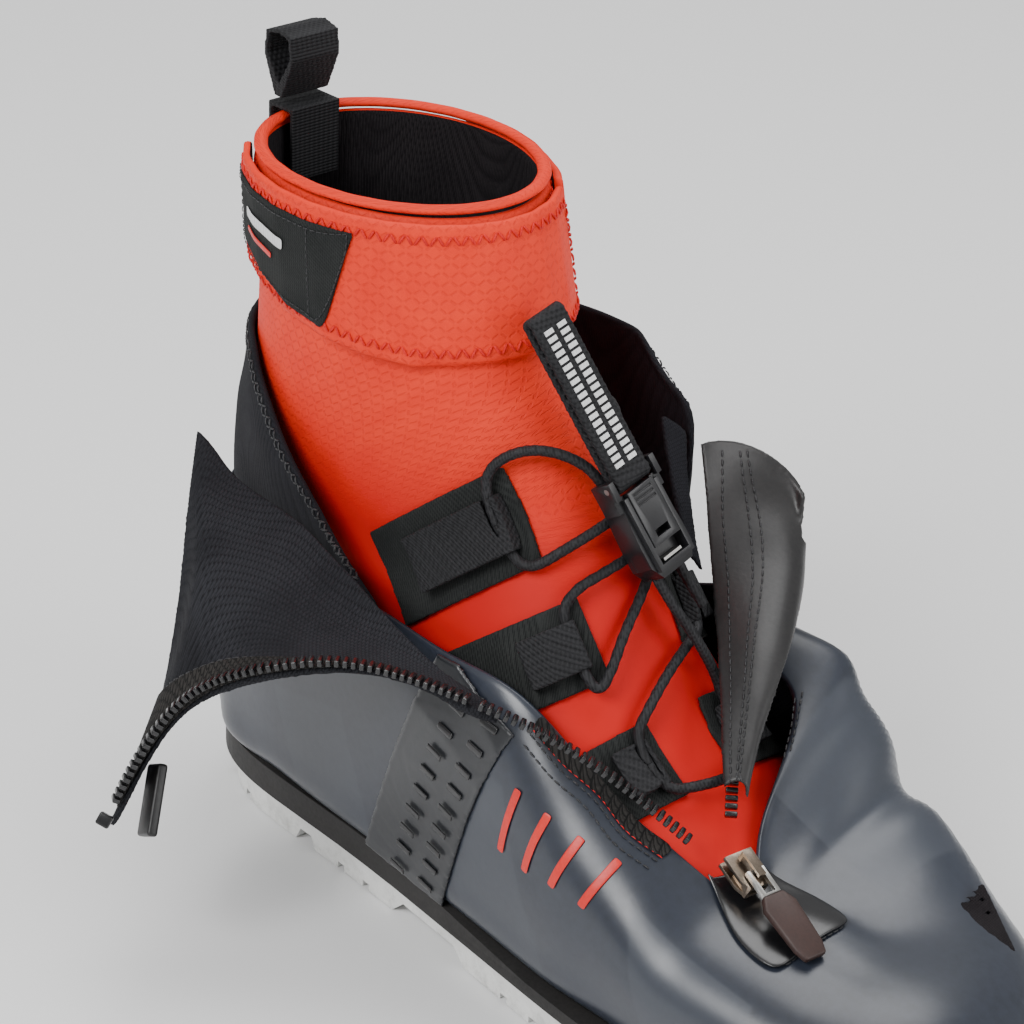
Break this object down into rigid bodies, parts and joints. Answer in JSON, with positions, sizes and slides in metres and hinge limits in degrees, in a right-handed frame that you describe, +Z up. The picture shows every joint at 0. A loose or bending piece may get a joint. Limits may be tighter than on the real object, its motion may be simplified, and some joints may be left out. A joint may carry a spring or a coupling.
{
  "type": "cross country ski boot",
  "caption": "Right cross country ski boot with the front zip open: coated shell, stretch liner with lace lock, wrap strap, rear pull loop and a grooved sole with a binding bar at the toe.",
  "frame": {"origin": "on the ground under the middle of the heel", "axes": "+X to the toe, +Y to the wearer's left, which is the inner side of this right foot, +Z up"},
  "size_m": [0.3, 0.1831, 0.2336],
  "materials": {
    "white_rubber": "matte moulded",
    "midsole": "matte moulded",
    "board": "pressed fibre",
    "steel": "satin",
    "liner_foot": "stretch textile over foam",
    "liner_cuff": "embossed foam",
    "binding": "ribbed tape",
    "footbed": "felted",
    "strap": "coated textile",
    "label": "printed film",
    "hook": "hook pile",
    "webbing": "woven webbing",
    "panel": "fine textile with raw cut edges",
    "shell": "semi-gloss coated textile",
    "stiffener": "moulded",
    "band": "embossed film",
    "collar": "knitted",
    "flap": "knit-lined coated textile",
    "storm": "matte rubberised textile",
    "gaiter": "thin textile",
    "teeth": "moulded",
    "tape": "knitted",
    "slider": "bronze nickel",
    "pull": "moulded",
    "lock": "satin moulded",
    "lace": "braided",
    "badge": "satin",
    "tab": "moulded"
  },
  "bodies": {
    "boot": {"outsole": "white_rubber", "midsole": "midsole", "lasting_board": "board", "toe_bar": "steel", "liner_foot": "liner_foot", "liner_cuff": "liner_cuff", "cuff_binding": "binding", "footbed": "footbed", "strap_anchor": "strap", "pull_loop_base": "webbing", "lace_loop_outer_1": "webbing", "lace_loop_inner_1": "webbing", "lace_loop_outer_2": "webbing", "lace_loop_inner_2": "webbing", "lace_loop_outer_3": "webbing", "lace_loop_inner_3": "webbing", "lace_panel_outer_1": "panel", "lace_panel_inner_1": "panel", "lace_panel_outer_2": "panel", "lace_panel_inner_2": "panel", "lace_panel_outer_3": "panel", "lace_panel_inner_3": "panel", "shell": "shell", "heel_counter": "stiffener", "toe_puff": "stiffener", "instep_band": "band", "collar": "collar", "inner_gaiter": "gaiter", "zip_teeth_outer": "teeth", "zip_teeth_inner": "teeth", "zip_tape_inner": "tape", "lace_1": "lace", "lace_2": "lace", "lace_3": "lace", "lace_4": "lace", "lace_5": "lace", "lace_6": "lace", "lace_7": "lace"},
    "wrap_strap": {"wrap_strap": "strap", "strap_label": "label", "strap_hook_pad": "hook"},
    "pull_loop": {"pull_loop": "webbing"},
    "lateral_flap": {"lateral_flap": "flap", "zip_teeth_flap": "teeth", "zip_tape_outer": "tape", "zip_end_stop": "teeth", "flap_badge": "badge", "flap_tab": "tab"},
    "storm_flap": {"storm_flap": "storm"},
    "zip_slider": {"zip_slider": "slider"},
    "zip_pull": {"zip_pull_link": "steel", "zip_pull_tab": "pull"},
    "lace_lock": {"lock_body": "lock", "lock_pin": "steel", "lock_spring": "steel"},
    "lock_button": {"lock_button": "lock"},
    "lace_handle": {"lace_handle": "webbing"}
  },
  "joints": [
    {"name": "strap_open", "type": "hinge", "parent": "boot", "child": "wrap_strap", "pos_m": [0.0593, 0.02615, 0.19], "axis": [-0.125, -0.076, 0.9892], "range_deg": [0, 12]},
    {"name": "pull_loop_swing", "type": "hinge", "parent": "boot", "child": "pull_loop", "pos_m": [-0.0255, 0, 0.2136], "axis": [0, 1, 0], "range_deg": [-45, 45], "stiffness_Nm_per_rad": 0.01},
    {"name": "outer_flap_fold", "type": "hinge", "parent": "boot", "child": "lateral_flap", "pos_m": [0.098, -0.049, 0.0985], "axis": [-0.9407, -0.009, 0.3392], "range_deg": [-10, 30]},
    {"name": "storm_flap_flex", "type": "hinge", "parent": "boot", "child": "storm_flap", "pos_m": [0.116, 0.032, 0.106], "axis": [0.6608, -0.5282, -0.5332], "range_deg": [-4, 4], "stiffness_Nm_per_rad": 0.05},
    {"name": "zip_slide", "type": "slide", "parent": "boot", "child": "zip_slider", "axis": [-0.8852, 0.068, 0.4601], "range_m": [0, 0.005]},
    {"name": "zip_pull_swing", "type": "hinge", "parent": "zip_slider", "child": "zip_pull", "pos_m": [0.18277, -0.01643, 0.0657], "axis": [0.0604, 0.9977, -0.0314], "range_deg": [-140, 0]},
    {"name": "lace_lock_slide", "type": "slide", "parent": "boot", "child": "lace_lock", "axis": [0.5144, 0.211, -0.8312], "range_m": [-0.003, 0.003]},
    {"name": "lock_button_press", "type": "slide", "parent": "lace_lock", "child": "lock_button", "axis": [0.5144, 0.211, -0.8312], "range_m": [0, 0.0035], "stiffness_N_per_m": 600},
    {"name": "lace_handle_swing", "type": "hinge", "parent": "lace_lock", "child": "lace_handle", "pos_m": [0.1093, 0.00289, 0.14487], "axis": [-0.118, 0.9775, 0.1751], "range_deg": [0, 75]}
  ]
}
